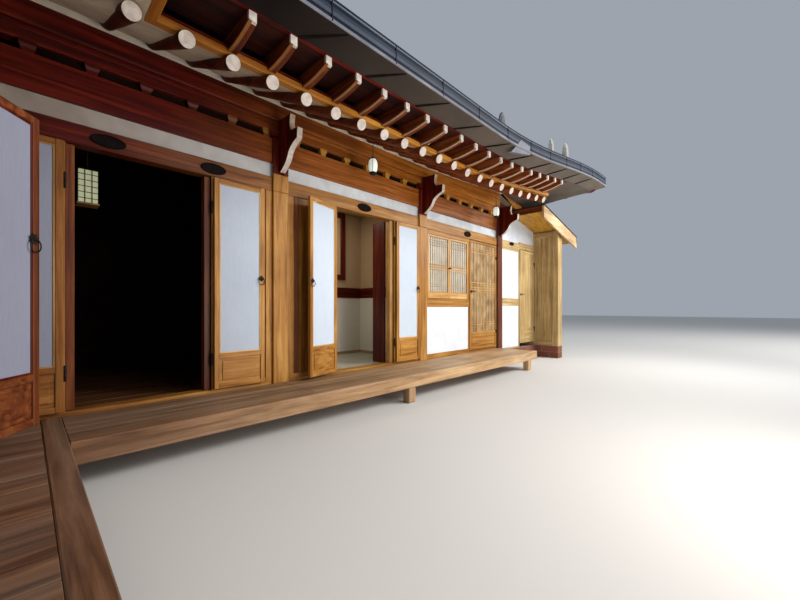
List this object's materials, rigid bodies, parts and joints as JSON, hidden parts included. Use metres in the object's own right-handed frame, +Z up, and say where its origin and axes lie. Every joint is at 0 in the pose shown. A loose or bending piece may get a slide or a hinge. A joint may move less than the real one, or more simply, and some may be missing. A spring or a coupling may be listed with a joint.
{
  "type": "hanok courtyard house",
  "caption": "Single-storey hanok with an L plan: timber posts and beams, tiled hip-and-gable roof with raised corners, verandas, papered door leaves and a lean-to.",
  "frame": {"origin": "on the ground under the post where the main front and the wing front meet", "axes": "+X along the main front, -Y from the main front into the courtyard, +Z up"},
  "size_m": [13.811, 10.422, 5.3187],
  "materials": {
    "wood": "oiled honey-coloured pine, satin",
    "leaf_wood": "oiled pine frames with white paper fields",
    "dark_wood": "dark red-brown stain",
    "deck_wood": "weathered boards",
    "plaster": "matt white lime plaster",
    "paper": "white window paper behind a lattice",
    "masonry": "matt red-brown masonry",
    "tile": "matt dark grey clay tiles",
    "gutter": "blue-grey satin sheet"
  },
  "bodies": {
    "house": {"back_wall": "plaster", "back_window_1": "paper", "back_window_2": "paper", "back_window_3": "paper", "base": "masonry", "bay1_left_panel": "plaster", "bay1_right_panel": "plaster", "bay2_left_panel": "plaster", "bay2_right_panel": "plaster", "bay3_window_wall": "wood", "ceiling": "plaster", "corner_post": "wood", "courtyard_gutter": "gutter", "front_frieze": "plaster", "front_head_beam": "dark_wood", "front_lintel": "wood", "lean_to_back_wall": "plaster", "lean_to_base": "masonry", "lean_to_door_head": "wood", "lean_to_roof": "tile", "lean_to_side_wall": "wood", "lean_to_window_panel": "wood", "main_back_roof": "tile", "main_deck": "deck_wood", "main_front_rafters": "dark_wood", "main_front_roof": "tile", "outer_gutter": "gutter", "outer_rafters": "dark_wood", "outer_wall": "plaster", "outer_window_1": "paper", "outer_window_2": "paper", "partition_1": "plaster", "partition_2": "plaster", "post_a": "wood", "post_b": "wood", "post_c": "wood", "ridges": "tile", "right_end_ridges": "tile", "right_skirt_roof": "tile", "right_wall": "plaster", "wing_deck": "deck_wood", "wing_door_head": "wood", "wing_door_sill": "wood", "wing_end_ridges": "tile", "wing_end_skirt_roof": "tile", "wing_end_wall": "plaster", "wing_head_beam": "dark_wood", "wing_inner_rafters": "dark_wood", "wing_inner_roof": "tile", "wing_outer_roof": "tile", "wing_wall_far": "plaster", "wing_wall_near": "plaster"},
    "bay1_left_leaf": {"bay1_left_leaf": "leaf_wood"},
    "bay1_right_leaf": {"bay1_right_leaf": "leaf_wood"},
    "bay2_left_leaf": {"bay2_left_leaf": "leaf_wood"},
    "bay2_right_leaf": {"bay2_right_leaf": "leaf_wood"},
    "bay3_door": {"bay3_door": "leaf_wood"},
    "wing_leaf": {"wing_leaf": "leaf_wood"},
    "lean_to_door": {"lean_to_door": "leaf_wood"}
  },
  "joints": [
    {"name": "bay1_left_leaf_hinge", "type": "hinge", "parent": "house", "child": "bay1_left_leaf", "pos_m": [0.655, -0.068, 0], "axis": [0, 0, 1], "range_deg": [0, 180]},
    {"name": "bay1_right_leaf_hinge", "type": "hinge", "parent": "house", "child": "bay1_right_leaf", "pos_m": [1.695, -0.068, 0], "axis": [0, 0, 1], "range_deg": [-180, 0]},
    {"name": "bay2_left_leaf_hinge", "type": "hinge", "parent": "house", "child": "bay2_left_leaf", "pos_m": [3.138, -0.068, 0], "axis": [0, 0, 1], "range_deg": [-18, 162]},
    {"name": "bay2_right_leaf_hinge", "type": "hinge", "parent": "house", "child": "bay2_right_leaf", "pos_m": [4.178, -0.068, 0], "axis": [0, 0, 1], "range_deg": [-180, 0]},
    {"name": "bay3_door_hinge", "type": "hinge", "parent": "house", "child": "bay3_door", "pos_m": [7.094, -0.068, 0], "axis": [0, 0, 1], "range_deg": [0, 90]},
    {"name": "lean_to_door_hinge", "type": "hinge", "parent": "house", "child": "lean_to_door", "pos_m": [8.854, -0.068, 0], "axis": [0, 0, 1], "range_deg": [0, 85]},
    {"name": "wing_leaf_hinge", "type": "hinge", "parent": "house", "child": "wing_leaf", "pos_m": [0.068, -1.39, 0], "axis": [0, 0, 1], "range_deg": [-140, 35]}
  ]
}
